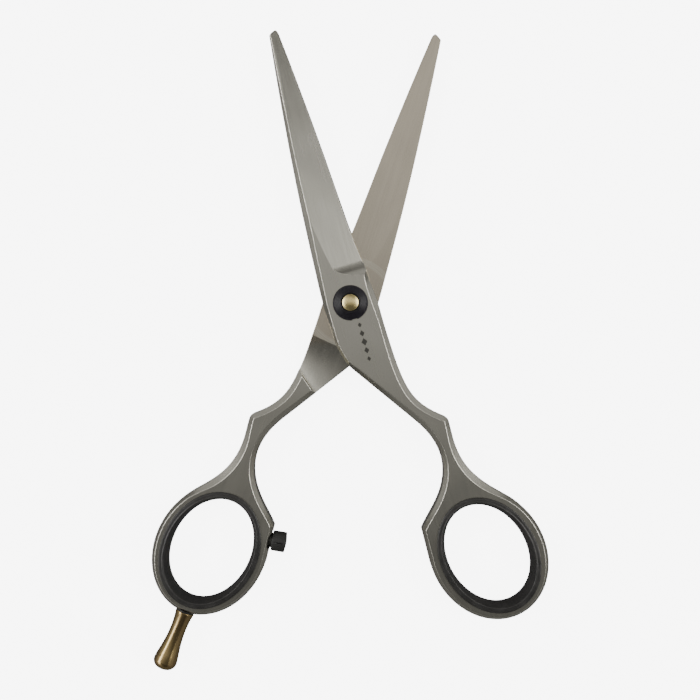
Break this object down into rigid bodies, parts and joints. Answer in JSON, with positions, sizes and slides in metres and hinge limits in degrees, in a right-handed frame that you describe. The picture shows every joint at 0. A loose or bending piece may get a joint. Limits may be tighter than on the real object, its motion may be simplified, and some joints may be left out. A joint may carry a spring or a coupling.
{
  "type": "hair cutting shears",
  "caption": "Hair cutting shears with offset finger rings, soft ring inserts, a rubber bumper, a black tension dial and a screwed-on brass finger rest.",
  "frame": {"origin": "on the pivot's axis, in the plane the shears lie on", "axes": "+Y between the open blades, +X towards the thumb ring, +Z along the pivot towards the dial"},
  "size_m": [0.0799, 0.1293, 0.0067],
  "materials": {
    "thumb_half_steel": "satin with polished bevels",
    "finger_half_steel": "satin with polished bevels",
    "screw_steel": "turned",
    "spring_steel": "plain",
    "bush_bronze": "turned",
    "boss_brass": "turned satin",
    "rest_brass": "satin",
    "washer_nylon": "matte",
    "dial_black": "satin",
    "black_washer": "matte",
    "insert_rubber": "smooth matte",
    "bumper_rubber": "matte"
  },
  "bodies": {
    "finger_half": {"rear_half": "finger_half_steel", "finger_ring_insert": "insert_rubber", "pivot_screw": "screw_steel", "glide_washer": "washer_nylon", "bumper": "bumper_rubber", "bumper_pin": "screw_steel", "finger_rest_stud": "screw_steel", "finger_rest_washer": "black_washer"},
    "thumb_half": {"front_half": "thumb_half_steel", "thumb_ring_insert": "insert_rubber", "pivot_bush": "bush_bronze", "slip_washer": "washer_nylon"},
    "tension_dial": {"adjuster_dial": "dial_black", "pivot_nut": "boss_brass", "spring_washer": "spring_steel"},
    "finger_rest": {"finger_rest": "rest_brass"}
  },
  "joints": [
    {"name": "blade_pivot", "type": "hinge", "parent": "finger_half", "child": "thumb_half", "pos_m": [0, 0, 0.0029], "axis": [0, 0, 1], "range_deg": [-32.1, 108.5]},
    {"name": "dial_turn", "type": "hinge", "parent": "finger_half", "child": "tension_dial", "pos_m": [0, 0, 0.0029], "axis": [0, 0, 1], "range_deg": [-180, 180]},
    {"name": "finger_rest_turn", "type": "hinge", "parent": "finger_half", "child": "finger_rest", "pos_m": [-0.03331, -0.06191, 0.0029], "axis": [-0.373, -0.9278, 0], "range_deg": [-180, 180]}
  ]
}
